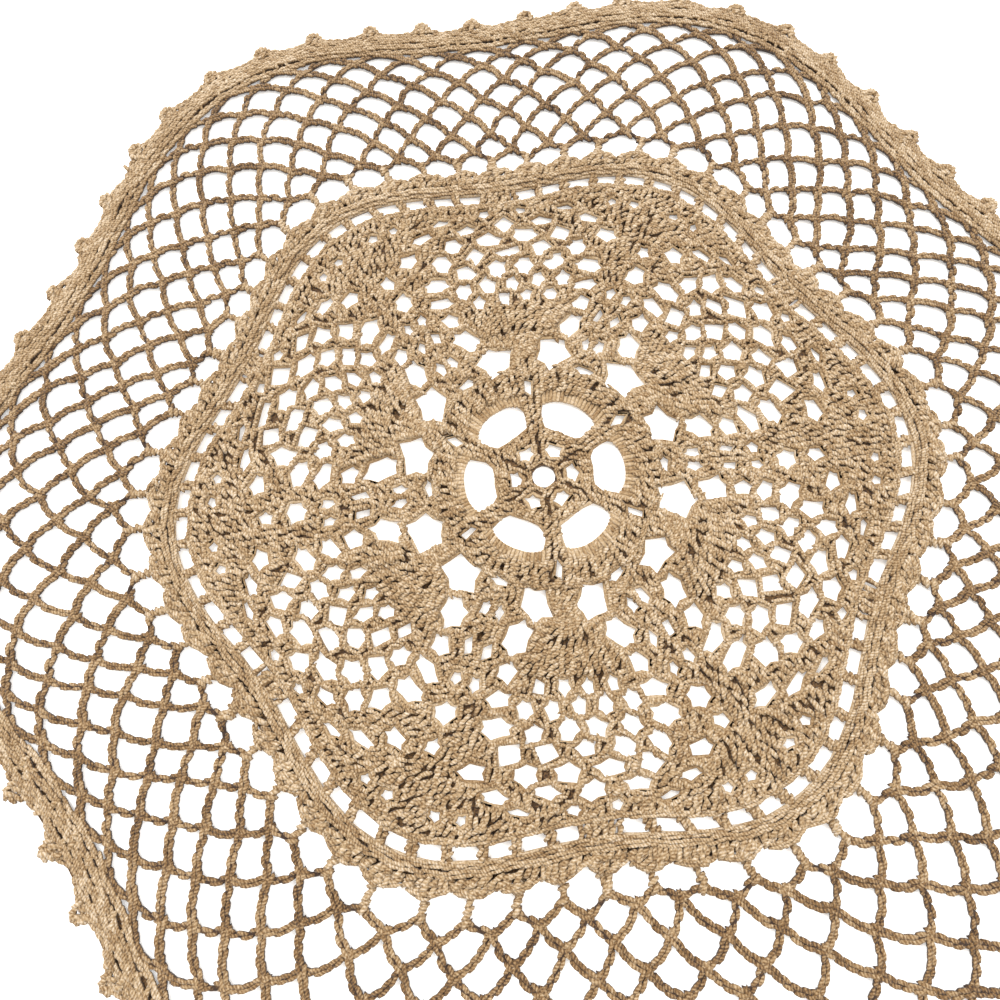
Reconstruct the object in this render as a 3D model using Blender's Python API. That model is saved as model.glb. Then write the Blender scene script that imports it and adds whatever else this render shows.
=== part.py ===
"""A crocheted lace doily in one piece, worked round by round in cotton thread and lying flat.

Metres, +Z up. The flat underside is at Z = 0, with the middle of the rosette over the origin.
+Y runs along the axis of one of the six pineapples. A turn is counted from +Y in degrees, anti-
clockwise seen from above, and a reach is the distance from the middle. Every size below is in
millimetres.
"""

import math
from collections import namedtuple

import bmesh
import bpy
from mathutils import Vector

MM = 0.001
REPEATS = 6  # pineapples, with a lobe between each two
REPEAT_TURN = 360 / REPEATS

# Three edges run in lobes: far out between the pineapples, and drawn in over their tips.
Lobed = namedtuple("Lobed", "mean swing")
RIM = Lobed(131.8, 6.6)  # foot of the scallops
MEDALLION = Lobed(82.6, 4.0)  # where the net begins
LADDER = Lobed(76.6, 4.0)  # middle of the row of square gaps
BORDER_WIDTH = 6.0  # close rows inside the scallops

# The rim lies a little out of true, in slow waves round it.
Wave = namedtuple("Wave", "count height start")
RIM_WAVES = [
    Wave(2, 0.8, 20),
    Wave(3, 0.6, 75),
    Wave(5, 0.5, 10),
]

# A scallop is a shell and its picot. A share of its width goes with each rise.
SCALLOPS = 60
EdgePoint = namedtuple("EdgePoint", "share rise")
SCALLOP = [
    EdgePoint(-0.50, 0.0),
    EdgePoint(-0.20, 1.0),
    EdgePoint(-0.09, 3.1),
    EdgePoint(0.09, 3.1),
    EdgePoint(0.20, 1.0),
]

# The net has its gaps cut at twice the pitch of its loops. Shares run from the medallion's
# edge to the border: of a gap's lower tip, of both ends of its sides, and of its upper tip.
NET_COLUMNS = 30
NET_STRAND = 2.3
NetRow = namedtuple("NetRow", "low_tip side_foot side_head high_tip")
NET_ROWS = [
    NetRow(0.02, 0.02, 0.17, 0.27),
    NetRow(0.17, 0.27, 0.43, 0.53),
    NetRow(0.43, 0.53, 0.68, 0.78),
    NetRow(0.68, 0.78, 0.99, 0.99),
]

# Gaps of the medallion, out from the middle. Turn is from the nearest pineapple's axis, wide
# is round the doily and tall is outwards. Square is 0 for a lozenge and 1 for a box, and lean
# moves the outer end away from that axis. A paired gap stands on both sides of it.
Gap = namedtuple("Gap", "name turn reach wide tall square lean corners paired")
GAPS = [
    Gap("bay", 30.0, 14.6, 11.6, 6.2, 0.60, 0.0, 10, False),
    Gap("star", 13.1, 29.6, 8.4, 7.8, 0.40, 0.0, 8, True),
    Gap("leaf", 20.2, 36.8, 5.4, 6.0, 0.45, 0.3, 6, True),
    Gap("inner_slant", 22.4, 46.7, 4.8, 5.8, 0.45, 0.5, 6, True),
    Gap("outer_slant", 20.8, 54.0, 5.4, 5.6, 0.45, 0.2, 6, True),
    Gap("kite", 30.0, 54.3, 4.8, 4.8, 0.35, 0.0, 6, False),
    Gap("mesh_low_middle", 0.0, 47.4, 8.4, 7.2, 0.45, 0.0, 8, False),
    Gap("mesh_low_side", 11.8, 47.6, 8.0, 7.0, 0.45, 0.0, 8, True),
    Gap("mesh_mid", 5.2, 55.4, 8.2, 6.8, 0.45, 0.0, 8, True),
    Gap("mesh_mid_side", 15.0, 57.2, 6.0, 5.4, 0.40, 0.0, 6, True),
    Gap("mesh_top", 0.0, 63.0, 7.8, 6.2, 0.45, 0.0, 8, False),
    Gap("mesh_top_side", 9.4, 64.0, 6.4, 4.8, 0.40, 0.0, 6, True),
    Gap("outer_shell", 24.0, 62.6, 5.6, 4.0, 0.40, 0.0, 6, True),
    Gap("arm_shell", 17.8, 67.0, 5.8, 4.0, 0.40, 0.0, 6, True),
]
CENTRE_HOLE = Gap("centre", 0.0, 0.0, 5.4, 5.4, 0.35, 0.0, 12, False)
# The ladder's gaps are cut at twice their pitch.
LADDER_GAPS = [
    Gap("ladder_middle", 30.0, 0.0, 10.4, 3.4, 0.85, 0.0, 8, False),
    Gap("ladder_side", 20.7, 0.0, 9.6, 3.4, 0.85, 0.0, 8, True),
    Gap("ladder_end", 11.4, 0.0, 8.8, 3.2, 0.85, 0.0, 8, True),
]

# Places where the cloth is drawn out of true, and how far it has moved out and round there.
Pull = namedtuple("Pull", "turn reach out round spread")
PULLS = [
    Pull(30, 33, 1.9, 0.9, 13),
    Pull(90, 33, -1.2, -0.4, 13),
    Pull(150, 33, -1.6, 0.5, 13),
    Pull(210, 33, 0.0, -0.8, 13),
    Pull(270, 33, 0.6, -0.2, 13),
    Pull(330, 33, 0.5, 1.3, 13),
    Pull(30, 56, -0.5, 0.5, 19),
    Pull(90, 56, 0.9, 2.1, 19),
    Pull(150, 56, 0.1, 1.2, 19),
    Pull(210, 56, 1.5, -3.1, 19),
    Pull(270, 56, -1.0, -2.4, 19),
    Pull(330, 56, 0.0, -0.7, 19),
]

# Thickness from the middle out, along a pineapple's axis and along a lobe's.
BASE_THICK = 1.4
Round = namedtuple("Round", "reach pineapple lobe")
ROUNDS = [
    Round(0.0, 1.6, 1.6),
    Round(7.0, 2.1, 2.1),
    Round(14.0, 2.4, 1.8),
    Round(20.0, 2.2, 2.8),
    Round(27.0, 1.7, 1.9),
    Round(36.0, 2.6, 2.1),
    Round(43.0, 1.7, 2.3),
    Round(56.0, 1.6, 2.0),
    Round(66.0, 1.8, 2.6),
    Round(76.0, 2.2, 1.9),
]
EDGING_THICK = 3.0  # raised shells round the medallion
EDGING_WIDTH = 4.6
EDGING_FALL = 1.5  # over which the edging sinks to the net
NET_THICK = 1.6
BORDER_THICK = 2.4

RELIEF_PASSES = 2
RELIEF_SIDE = 7.4  # longest side left across the close work, so that its relief shows
MERGE = 1e-6
COTTON = (0.46, 0.32, 0.19)


def place(turn, reach):
    angle = math.radians(turn)
    return Vector((-reach * math.sin(angle), reach * math.cos(angle)))


def turn_of(point):
    return math.degrees(math.atan2(-point.x, point.y))


def lobed(edge, turn):
    return edge.mean - edge.swing * math.cos(math.radians(REPEATS * turn))


def rim_reach(turn):
    waves = (w.height * math.cos(math.radians(w.count * (turn - w.start))) for w in RIM_WAVES)
    return lobed(RIM, turn) + sum(waves)


def net_reach(turn, share):
    low = lobed(MEDALLION, turn)
    high = rim_reach(turn) - BORDER_WIDTH
    return low + share * (high - low)


def laid(point):
    """Where a point of the true pattern lies in the cloth, with its pulls."""
    moved = point.copy()
    for pull in PULLS:
        middle = place(pull.turn, pull.reach)
        outward = middle.normalized()
        onward = Vector((-outward.y, outward.x))
        share = math.exp(-(point - middle).length_squared / pull.spread**2)
        moved += share * (pull.out * outward + pull.round * onward)
    return moved


def gap_outline(gap, turn, reach, side=1):
    """A gap's corners: a rounded lozenge or box that bends with the round it stands in."""
    power = 1.35 - gap.square
    corners = []
    for i in range(gap.corners):
        angle = 2 * math.pi * i / gap.corners
        across = math.copysign(abs(math.cos(angle)) ** power, math.cos(angle)) * gap.wide / 2
        along = math.copysign(abs(math.sin(angle)) ** power, math.sin(angle)) * gap.tall / 2
        across += side * gap.lean * along
        if reach:
            corners.append(place(turn + math.degrees(across / reach), reach + along))
        else:
            corners.append(Vector((across, along)))
    return corners


def medallion_gaps():
    outlines = [gap_outline(CENTRE_HOLE, 0, 0)]
    for repeat in range(REPEATS):
        for gap in GAPS + LADDER_GAPS:
            for side in (-1, 1) if gap.paired else (1,):
                reach = gap.reach or lobed(LADDER, gap.turn)
                turn = repeat * REPEAT_TURN + side * gap.turn
                outlines.append(gap_outline(gap, turn, reach, side))
    return outlines


def inset(outline, width):
    """A convex outline, given clockwise, with every side moved inwards."""
    moved = []
    count = len(outline)
    for i, corner in enumerate(outline):
        before = (corner - outline[i - 1]).normalized()
        after = (outline[(i + 1) % count] - corner).normalized()
        inward = Vector((before.y + after.y, -before.x - after.x)).normalized()
        square_on = Vector((after.y, -after.x))
        moved.append(corner + inward * width / inward.dot(square_on))
    return moved


def net_gaps():
    """Six-sided gaps in rows, each row half a column on from the last."""
    outlines = []
    for number, row in enumerate(NET_ROWS):
        for i in range(NET_COLUMNS):
            corners = [
                (0, row.low_tip),
                (1, row.side_foot),
                (1, row.side_head),
                (0, row.high_tip),
                (-1, row.side_head),
                (-1, row.side_foot),
            ]
            outline = []
            for side, share in corners:
                turn = (i + 0.5 * (number % 2) + 0.5 * side) * 360 / NET_COLUMNS
                outline.append(place(turn, net_reach(turn, share)))
            outlines.append(inset(outline, NET_STRAND / 2))
    return outlines


def rim_outline():
    points = []
    for scallop in range(SCALLOPS):
        for edge in SCALLOP:
            turn = (scallop + edge.share) * 360 / SCALLOPS
            points.append(place(turn, rim_reach(turn) + edge.rise))
    return points


def thickness(point):
    """Thickness of the cloth at a point, in millimetres."""
    reach = point.length
    turn = turn_of(point)
    edge = lobed(MEDALLION, turn)
    if reach > net_reach(turn, 1):
        return BORDER_THICK
    if reach > edge:
        sunk = min(1, (reach - edge) / EDGING_FALL)
        return EDGING_THICK + sunk * (NET_THICK - EDGING_THICK)
    if reach > edge - EDGING_WIDTH:
        return EDGING_THICK
    toward_lobe = (1 - math.cos(math.radians(REPEATS * turn))) / 2
    for near, far in zip(ROUNDS, ROUNDS[1:]):
        if reach <= far.reach or far is ROUNDS[-1]:
            share = min(1, (reach - near.reach) / (far.reach - near.reach))
            on_pineapple = near.pineapple + share * (far.pineapple - near.pineapple)
            on_lobe = near.lobe + share * (far.lobe - near.lobe)
            return on_pineapple + toward_lobe * (on_lobe - on_pineapple)


def pierced_sheet(name, outlines):
    """A flat sheet with its underside at Z = 0: the first outline, pierced by the others."""
    curve = bpy.data.curves.new(name, "CURVE")
    curve.dimensions = "2D"
    curve.fill_mode = "BOTH"
    curve.extrude = BASE_THICK * MM / 2
    for outline in outlines:
        spline = curve.splines.new("POLY")
        spline.points.add(len(outline) - 1)
        spline.use_cyclic_u = True
        for corner, point in zip(spline.points, outline):
            corner.co = (point.x * MM, point.y * MM, 0, 1)
    flat = bpy.data.objects.new(name + "_outline", curve)
    flat.location.z = BASE_THICK * MM / 2
    bpy.context.scene.collection.objects.link(flat)
    bpy.context.view_layer.update()
    evaluated = flat.evaluated_get(bpy.context.evaluated_depsgraph_get())
    mesh = bpy.data.meshes.new_from_object(evaluated)
    mesh.transform(flat.matrix_world)
    sheet = bpy.data.objects.new(name, mesh)
    bpy.data.objects.remove(flat)
    return sheet


def upper_face(work):
    """The faces on the upper side, and the edges that lie between two of them."""
    faces = [f for f in work.faces if all(v.co.z > BASE_THICK * MM / 2 for v in f.verts)]
    found = set(faces)
    return faces, [e for e in work.edges if found.issuperset(e.link_faces)]


def crosses_close_work(edge):
    """True for a long edge across the medallion, whose two ends can't carry its relief."""
    middle = (edge.verts[0].co.xy + edge.verts[1].co.xy) / 2 / MM
    within = middle.length < lobed(MEDALLION, turn_of(middle))
    return within and edge.calc_length() > RELIEF_SIDE * MM


def raise_relief(sheet):
    """Gives the upper side points across the close work, and raises each to its thickness."""
    work = bmesh.new()
    work.from_mesh(sheet.data)
    bmesh.ops.remove_doubles(work, verts=work.verts, dist=MERGE)
    bmesh.ops.recalc_face_normals(work, faces=work.faces)
    faces, inner = upper_face(work)
    bmesh.ops.beautify_fill(work, faces=faces, edges=inner)
    for _ in range(RELIEF_PASSES):
        long = [e for e in upper_face(work)[1] if crosses_close_work(e)]
        bmesh.ops.subdivide_edges(work, edges=long, cuts=1)
        bmesh.ops.triangulate(work, faces=upper_face(work)[0])
        faces, inner = upper_face(work)
        bmesh.ops.beautify_fill(work, faces=faces, edges=inner)
    for vert in work.verts:
        if vert.co.z > BASE_THICK * MM / 2:
            vert.co.z = thickness(vert.co.xy / MM) * MM
    work.to_mesh(sheet.data)
    work.free()


def cotton():
    material = bpy.data.materials.new("cotton_thread")
    material.use_nodes = True
    surface = material.node_tree.nodes["Principled BSDF"]
    surface.inputs["Base Color"].default_value = (*COTTON, 1)
    surface.inputs["Roughness"].default_value = 0.85
    surface.inputs["Metallic"].default_value = 0
    return material


for old in list(bpy.data.objects):
    bpy.data.objects.remove(old)
outlines = [rim_outline()] + medallion_gaps() + net_gaps()
doily = pierced_sheet("doily", [[laid(point) for point in outline] for outline in outlines])
raise_relief(doily)
doily.data.materials.append(cotton())
collection = bpy.data.collections.new("lace_doily")
bpy.context.scene.collection.children.link(collection)
collection.objects.link(doily)
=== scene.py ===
# %% [markdown]
# # A crocheted lace doily
# The doily is one long cotton thread, worked round by round from a small ring. Its looks come
# from two stitches: the chain, which makes every open loop, and the tall stitch, which stands in
# rows and makes the close parts. So the script draws the doily as a chart, a list of paths for
# chains and for tall stitches, and Geometry Nodes clothe each path with modelled stitches.

import math
import random
from collections import namedtuple

import bpy
from mathutils import Matrix, Vector


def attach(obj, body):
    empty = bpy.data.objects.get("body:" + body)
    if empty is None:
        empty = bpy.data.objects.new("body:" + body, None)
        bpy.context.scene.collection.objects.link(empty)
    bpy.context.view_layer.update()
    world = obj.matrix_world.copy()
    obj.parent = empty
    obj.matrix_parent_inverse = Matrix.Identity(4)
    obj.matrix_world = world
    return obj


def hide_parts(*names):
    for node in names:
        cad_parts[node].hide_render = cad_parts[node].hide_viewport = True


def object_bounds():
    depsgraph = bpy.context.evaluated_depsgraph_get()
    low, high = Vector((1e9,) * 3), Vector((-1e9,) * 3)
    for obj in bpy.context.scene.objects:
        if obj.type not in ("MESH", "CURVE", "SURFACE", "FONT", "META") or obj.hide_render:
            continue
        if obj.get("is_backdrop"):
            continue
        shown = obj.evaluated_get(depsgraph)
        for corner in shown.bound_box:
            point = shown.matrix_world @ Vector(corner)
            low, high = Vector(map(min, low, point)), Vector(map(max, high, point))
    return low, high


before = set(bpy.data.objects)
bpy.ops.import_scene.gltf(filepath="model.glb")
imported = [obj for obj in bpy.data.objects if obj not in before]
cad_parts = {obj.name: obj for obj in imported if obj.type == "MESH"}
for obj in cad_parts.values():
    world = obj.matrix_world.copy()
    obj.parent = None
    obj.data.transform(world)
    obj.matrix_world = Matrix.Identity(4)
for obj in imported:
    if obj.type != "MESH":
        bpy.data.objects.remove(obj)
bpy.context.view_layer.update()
MM = 0.001

# %% [markdown]
# ## Camera, floor and light
# A flat thing fills the picture, so the camera comes first, and every later step can be judged
# from where it will be seen. It hangs low over the doily, a little towards the viewer. The floor
# is pale and the light soft and broad, because thread only 2 mm high is drawn by its own shade.

# %% Camera
AIM = Vector((-10.05, -2.84, 0))  # what the camera points at, in millimetres
DISTANCE = 166.7
ELEVATION = 74.34
ROLL = -5.6
TABLE_TURN = -2.31  # how far the doily lies turned from the camera's own left and right
LENS = 27
LENS_SHIFT = -0.006


def camera_axes():
    """The camera's right, up and back, before the doily's own turn on the table."""
    back = Vector((0, -math.cos(math.radians(ELEVATION)), math.sin(math.radians(ELEVATION))))
    right = Vector((0, 0, 1)).cross(back).normalized()
    up = back.cross(right)
    c, s = math.cos(math.radians(ROLL)), math.sin(math.radians(ROLL))
    return right * c + up * s, up * c - right * s, back


def turned(vector, degrees):
    c, s = math.cos(math.radians(degrees)), math.sin(math.radians(degrees))
    return Vector((vector.x * c - vector.y * s, vector.x * s + vector.y * c, vector.z))


camera = bpy.data.objects.new("camera", bpy.data.cameras.new("camera"))
bpy.context.scene.collection.objects.link(camera)
right, up, back = camera_axes()
eye = turned((AIM + back * DISTANCE) * MM, TABLE_TURN)
right, up, back = (turned(axis, TABLE_TURN) for axis in (right, up, back))
camera.matrix_world = Matrix([*zip(right, up, back, eye), (0, 0, 0, 1)])
camera.data.lens = LENS
camera.data.shift_y = LENS_SHIFT
camera.data.clip_start = 0.01
bpy.context.scene.camera = camera
print("camera at", [round(v, 3) for v in eye])

# %% [markdown]
# A node graph is made with one helper here, for the shaders and for Geometry Nodes alike. It adds
# a node, sets it up, and feeds its sockets with values or links. A link is wrapped as a `Sum`, so
# that sums on it can be written as plain Python.

# %% Node helpers


class Sum:
    """A number that flows through a node graph, on which Python's operators add Math nodes."""

    def __init__(self, graph, socket):
        self.graph, self.socket = graph, socket

    def math(self, operation, first, second=None):
        inputs = {0: first} if second is None else {0: first, 1: second}
        return self.graph.add("ShaderNodeMath", {"operation": operation}, inputs)[0]

    def __add__(self, other):
        return self.math("ADD", self, other)

    def __sub__(self, other):
        return self.math("SUBTRACT", self, other)

    def __mul__(self, other):
        return self.math("MULTIPLY", self, other)

    def __rsub__(self, other):
        return self.math("SUBTRACT", other, self)

    __radd__ = __add__
    __rmul__ = __mul__

    def sine(self):
        return self.math("SINE", self)


class Made:
    """A node that was just added, whose outputs are read by name or number."""

    def __init__(self, graph, node):
        self.graph, self.node = graph, node

    def __getitem__(self, output):
        return Sum(self.graph, self.node.outputs[output])


class Graph:
    def __init__(self, tree):
        self.tree = tree

    def add(self, kind, settings=None, inputs=None):
        node = self.tree.nodes.new(kind)
        for name, value in (settings or {}).items():
            if name == "stops":
                ramp = node.color_ramp.elements
                while len(ramp) < len(value):
                    ramp.new(0.5)
                for stop, (at, colour) in zip(ramp, value):
                    stop.position, stop.color = at, (*colour, 1)
            else:
                setattr(node, name, value)
        for name, value in (inputs or {}).items():
            if isinstance(value, Sum):
                self.tree.links.new(value.socket, node.inputs[name])
            else:
                node.inputs[name].default_value = value
        return Made(self, node)


def shader(name):
    """A new material, its graph, and its surface node."""
    material = bpy.data.materials.new(name)
    material.use_nodes = True
    return material, Graph(material.node_tree), material.node_tree.nodes["Principled BSDF"]


# %% Floor and light
FLOOR_SIZE = 6.0
FLOOR_DROP = 0.2 * MM  # keeps the floor clear of the doily's underside
FLOOR_GLOW = 0.3  # light of its own, so that narrow gaps in the lace show pale

half = FLOOR_SIZE / 2
floor_mesh = bpy.data.meshes.new("floor")
floor_corners = [(-half, -half, 0), (half, -half, 0), (half, half, 0), (-half, half, 0)]
floor_mesh.from_pydata(floor_corners, [], [(0, 1, 2, 3)])
floor = bpy.data.objects.new("floor", floor_mesh)
floor.location.z = -FLOOR_DROP
bpy.context.scene.collection.objects.link(floor)
paint, _, surface = shader("floor_paint")
surface.inputs["Base Color"].default_value = (0.95, 0.95, 0.945, 1)
surface.inputs["Emission Color"].default_value = (1, 1, 1, 1)
surface.inputs["Emission Strength"].default_value = FLOOR_GLOW
surface.inputs["Roughness"].default_value = 0.9
floor_mesh.materials.append(paint)
floor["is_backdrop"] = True


def lamp(name, place_at, size, power):
    """A square lamp that shines at the doily."""
    light = bpy.data.lights.new(name, "AREA")
    light.size, light.energy = size, power
    holder = bpy.data.objects.new(name, light)
    holder.location = place_at
    holder.rotation_euler = (-Vector(place_at)).to_track_quat("-Z", "Y").to_euler()
    bpy.context.scene.collection.objects.link(holder)


lamp("window", (-0.5, 0.65, 1.0), 0.7, 20)
lamp("fill", (0.8, -0.3, 0.9), 1.2, 12)
world = bpy.data.worlds.new("studio")
world.use_nodes = True
sky = world.node_tree.nodes["Background"].inputs
sky["Color"].default_value = (1, 0.94, 0.86, 1)
sky["Strength"].default_value = 1.0
bpy.context.scene.world = world
bpy.context.scene.view_settings.view_transform = "Standard"

# %% [markdown]
# ## The shape of the rounds
# These values are the same as in the part's source. Three edges run in lobes: out between the six
# pineapples and in over their tips. The cloth is also drawn a little out of true, and `laid`
# moves each point of the true pattern to where it really lies.

# %% Edges, pulls and places
REPEATS = 6
SECTOR = 360 / REPEATS
LOBE = SECTOR / 2  # from a pineapple's axis to the middle of the next lobe
Lobed = namedtuple("Lobed", "mean swing")
RIM = Lobed(131.8, 6.6)
MEDALLION = Lobed(82.6, 4.0)
LADDER = Lobed(76.6, 4.0)
BORDER_WIDTH = 6.0
Wave = namedtuple("Wave", "count height start")
RIM_WAVES = [Wave(2, 0.8, 20), Wave(3, 0.6, 75), Wave(5, 0.5, 10)]
Pull = namedtuple("Pull", "turn reach out round spread")
PULLS = [
    Pull(30, 33, 1.9, 0.9, 13),
    Pull(90, 33, -1.2, -0.4, 13),
    Pull(150, 33, -1.6, 0.5, 13),
    Pull(210, 33, 0.0, -0.8, 13),
    Pull(270, 33, 0.6, -0.2, 13),
    Pull(330, 33, 0.5, 1.3, 13),
    Pull(30, 56, -0.5, 0.5, 19),
    Pull(90, 56, 0.9, 2.1, 19),
    Pull(150, 56, 0.1, 1.2, 19),
    Pull(210, 56, 1.5, -3.1, 19),
    Pull(270, 56, -1.0, -2.4, 19),
    Pull(330, 56, 0.0, -0.7, 19),
]


def place(turn, reach):
    angle = math.radians(turn)
    return Vector((-reach * math.sin(angle), reach * math.cos(angle)))


def turn_of(point):
    return math.degrees(math.atan2(-point.x, point.y))


def at_repeat(point, repeat):
    """The same place on another pineapple."""
    return place(turn_of(point) + repeat * SECTOR, point.length)


def off_axis(turn):
    """Degrees from the nearest pineapple's axis."""
    return abs((turn + LOBE) % SECTOR - LOBE)


def lobed(edge, turn):
    return edge.mean - edge.swing * math.cos(math.radians(REPEATS * turn))


def rim_reach(turn):
    waves = (w.height * math.cos(math.radians(w.count * (turn - w.start))) for w in RIM_WAVES)
    return lobed(RIM, turn) + sum(waves)


def net_reach(turn, share):
    low = lobed(MEDALLION, turn)
    return low + share * (rim_reach(turn) - BORDER_WIDTH - low)


def laid(point):
    moved = point.copy()
    for pull in PULLS:
        middle = place(pull.turn, pull.reach)
        outward = middle.normalized()
        onward = Vector((-outward.y, outward.x))
        share = math.exp(-(point - middle).length_squared / pull.spread**2)
        moved += share * (pull.out * outward + pull.round * onward)
    return moved


# %% [markdown]
# ## The openings of the medallion
# The close rounds and the pineapples' mesh are read best by their holes. Each opening below is
# charted for one half of a pineapple's sector and repeated on both sides of all six. Its corners
# are shaken a little each time, because no two holes in hand work are alike.

# %% Openings
Opening = namedtuple("Opening", "name turn reach wide tall square lean corners")
OPENINGS = [  # turn from the pineapple's axis, reach from the middle, and size in millimetres
    Opening("bay", 30.0, 14.8, 11.5, 7.6, 0.85, 0.0, 14),
    Opening("triangle", 30.0, 6.4, 4.4, 3.4, 0.40, 0.0, 5),
    Opening("petal_slit", 0.0, 21.4, 2.3, 4.8, 0.20, 0.0, 4),
    Opening("crescent", 29.0, 26.6, 4.2, 1.9, 0.40, 0.0, 5),
    Opening("star", 12.7, 29.6, 8.6, 8.0, 0.45, 0.0, 5),
    Opening("leaf", 18.6, 36.8, 5.4, 7.0, 0.45, 0.3, 6),
    Opening("lens", 27.4, 33.2, 2.2, 3.6, 0.40, 0.0, 5),
    Opening("high_lens", 27.2, 41.2, 2.0, 3.8, 0.40, 0.0, 4),
    Opening("low_slant", 20.2, 43.6, 4.0, 4.6, 0.40, 0.2, 5),
    Opening("inner_slant", 20.2, 49.0, 5.8, 4.2, 0.35, 0.7, 5),
    Opening("outer_slant", 19.6, 54.4, 6.6, 4.4, 0.40, 0.4, 6),
    Opening("column_eye", 27.6, 47.8, 2.2, 3.0, 0.40, 0.0, 5),
    Opening("kite", 28.5, 54.6, 4.6, 4.8, 0.50, 0.0, 6),
    Opening("high_eye", 29.0, 61.4, 3.0, 3.6, 0.40, 0.0, 5),
    Opening("outer_shell", 22.4, 63.8, 5.2, 3.6, 0.55, 0.2, 5),
    Opening("arm_shell", 17.6, 67.4, 5.6, 2.6, 0.40, 0.2, 5),
    Opening("high_arm", 12.8, 69.6, 5.2, 1.6, 0.40, 0.2, 5),
    Opening("tip", 0.0, 73.4, 2.2, 2.4, 0.40, 0.0, 5),
    Opening("fan_end", 26.0, 73.6, 2.4, 2.0, 0.40, 0.0, 5),
    Opening("fan_side", 21.8, 73.0, 2.0, 2.2, 0.40, 0.0, 5),
]
# The pits are gaps among the posts, dark with shade and with the sheet below them, which is painted dark as
# shade.
PITS = [(-3.7, 35.6), (-1.3, 36.2), (1.2, 36.3), (3.6, 35.7)]  # dark, between a fan's two tiers
MESH_CELLS = [  # across and along the pineapple's axis, then size
    (2.7, 45.3, 2.5, 3.2), (8.2, 44.8, 2.6, 3.2),
    (0.0, 49.2, 3.0, 3.8), (5.9, 49.3, 3.2, 4.2), (11.8, 48.6, 3.6, 4.2),
    (3.1, 53.4, 4.0, 4.2), (10.6, 53.4, 4.4, 4.2),
    (0.0, 57.5, 5.0, 3.4), (8.4, 57.6, 4.6, 4.0), (16.2, 56.6, 4.2, 5.0),
    (4.6, 61.6, 6.2, 3.8), (13.2, 61.0, 4.2, 4.2),
    (0.0, 65.6, 4.8, 3.8), (9.4, 65.0, 5.2, 2.8), (4.4, 68.8, 2.4, 1.8),
]
MESH_GROWTH = 1.1  # the mesh's holes are cut larger than charted, for the cords at their edges


def by_axis(name, x, y, wide, tall, square, corners):
    """An opening that is placed across and along its pineapple's axis."""
    turn, reach = math.degrees(math.atan2(x, y)), math.hypot(x, y)
    return Opening(name, turn, reach, wide, tall, square, 0.0, corners)


for x, y in PITS:
    OPENINGS.append(by_axis("pit", x, y, 0.8, 1.7, 0.40, 4))
for x, y, wide, tall in MESH_CELLS:
    OPENINGS.append(by_axis("mesh", x, y, MESH_GROWTH * wide, MESH_GROWTH * tall, 0.45, 0))

# %% Holes in the cloth
HAND = random.Random(11)
ROSETTE_REACH = 24
MESH_CORNERS = (4, 5, 5, 6)  # a hole charted with 0 corners gets one of these counts
GROWTH, FOUR_GROWTH = 1.02, 1.12  # a mesh hole with four corners would look smaller than the rest
ROUGH, FIRM = 0.2, 0.04  # share by which a corner may lie nearer or farther, FIRM in the rosette
PINCH = 0.24  # most by which the thread bends in between two corners
Hole = namedtuple("Hole", "name corners middle radius")


def hole_at(opening, side, repeat):
    """One hole's corners where they lie in the cloth."""
    power = 2 / (1.35 - opening.square)  # 2 would make an ellipse, and more makes it squarer
    rough = ROUGH if opening.reach > ROSETTE_REACH else FIRM
    start = HAND.random()
    count = opening.corners or HAND.choice(MESH_CORNERS)
    growth = FOUR_GROWTH if count == 4 and not opening.corners else GROWTH
    corners = []
    for i in range(count):
        angle = 2 * math.pi * (i + start + HAND.uniform(-0.15, 0.15)) / count
        c, s = math.cos(angle), math.sin(angle)
        size = growth * (abs(c) ** power + abs(s) ** power) ** (-1 / power)
        size *= HAND.uniform(1 - rough, 1 + rough)
        along = s * size * opening.tall / 2
        across = c * size * opening.wide / 2 + opening.lean * along
        turn = repeat * SECTOR + side * (opening.turn + math.degrees(across / opening.reach))
        corners.append(laid(place(turn, opening.reach + along)))
    middle = sum(corners, Vector((0, 0))) / count
    if count in (5, 6):
        sides = zip(corners, corners[1:] + corners[:1])
        pinched = [a.lerp(b, 0.5).lerp(middle, HAND.uniform(0, PINCH)) for a, b in sides]
        corners = [corner for pair in zip(corners, pinched) for corner in pair]
    return Hole(opening.name, corners, middle, max((c - middle).length for c in corners))


def grown(hole, by):
    """The hole's corners moved outwards."""
    return [c + (c - hole.middle).normalized() * by for c in hole.corners]


def within(outline, x, y):
    inside = False
    for (x0, y0), (x1, y1) in zip(outline, outline[1:] + outline[:1]):
        if (y0 > y) != (y1 > y) and x < x0 + (x1 - x0) * (y - y0) / (y1 - y0):
            inside = not inside
    return inside


def from_edge(point, a, b):
    share = max(0, min(1, (point - a).dot(b - a) / (b - a).length_squared))
    return (point - a.lerp(b, share)).length


# %% Looking up holes
SQUARE = 8  # side of the squares in which holes are looked up
FARTHEST = 3  # from a hole, at which anything still asks for it
LAST_MIRRORED = 27.9  # a hole nearer to a lobe's middle has no twin on the other side
PIT_CLEAR = 0.3  # posts come closer to the pits than to the open holes


def squares(low, high):
    return range(math.floor(low / SQUARE), math.floor(high / SQUARE) + 1)


holes, nearby = [], {}
for opening in OPENINGS:
    for repeat in range(REPEATS):
        for side in (-1, 1) if 0 < opening.turn < LAST_MIRRORED else (1,):
            hole = hole_at(opening, side, repeat)
            holes.append(hole)
            reach = hole.radius + FARTHEST
            for i in squares(hole.middle.x - reach, hole.middle.x + reach):
                for j in squares(hole.middle.y - reach, hole.middle.y + reach):
                    nearby.setdefault((i, j), []).append(hole)


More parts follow.
